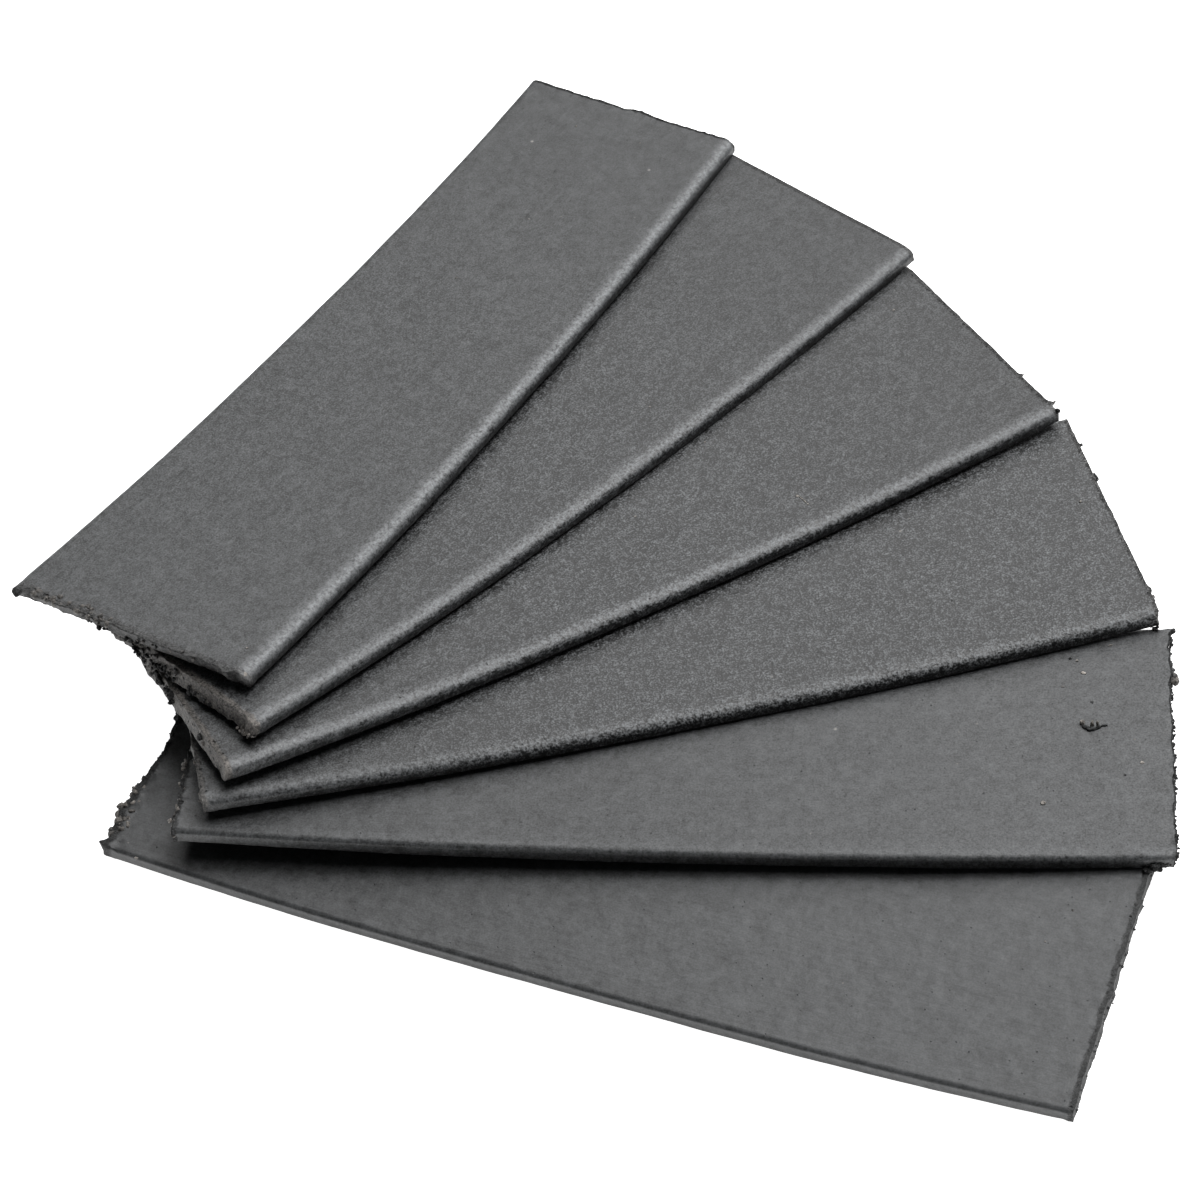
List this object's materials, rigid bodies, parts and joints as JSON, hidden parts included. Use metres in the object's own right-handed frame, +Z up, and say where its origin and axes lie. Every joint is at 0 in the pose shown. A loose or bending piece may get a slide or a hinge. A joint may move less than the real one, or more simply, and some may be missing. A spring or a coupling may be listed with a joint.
{
  "type": "set of flat rubber strips",
  "caption": "Flat dark rubber strips with rounded long edges and rough-cut ends, fanned out in a loose overlapping pile.",
  "frame": {"origin": "on the table, under the middle of the fan's bounding box", "axes": "+Z up from the table; +X from the gathered ends of the fan towards its spread ends; +Y towards the back, from the lowest strip to the top one"},
  "size_m": [0.1175, 0.153, 0.015],
  "materials": {
    "strip_rubber": "matte, faintly pebbled, with paler worn long edges"
  },
  "bodies": {
    "strip_1": {"strip_1": "strip_rubber"},
    "strip_2": {"strip_2": "strip_rubber"},
    "strip_3": {"strip_3": "strip_rubber"},
    "strip_4": {"strip_4": "strip_rubber"},
    "strip_5": {"strip_5": "strip_rubber"},
    "strip_6": {"strip_6": "strip_rubber"}
  },
  "joints": [
    {"name": "strip_1_lift", "type": "slide", "parent": "strip_2", "child": "strip_1", "axis": [0, 0, 1], "range_m": [0, 0.03]},
    {"name": "strip_2_lift", "type": "slide", "parent": "strip_3", "child": "strip_2", "axis": [0, 0, 1], "range_m": [0, 0.03]},
    {"name": "strip_3_lift", "type": "slide", "parent": "strip_4", "child": "strip_3", "axis": [0, 0, 1], "range_m": [0, 0.03]},
    {"name": "strip_4_lift", "type": "slide", "parent": "strip_5", "child": "strip_4", "axis": [0, 0, 1], "range_m": [0, 0.03]},
    {"name": "strip_5_lift", "type": "slide", "parent": "strip_6", "child": "strip_5", "axis": [0, 0, 1], "range_m": [0, 0.03]}
  ]
}
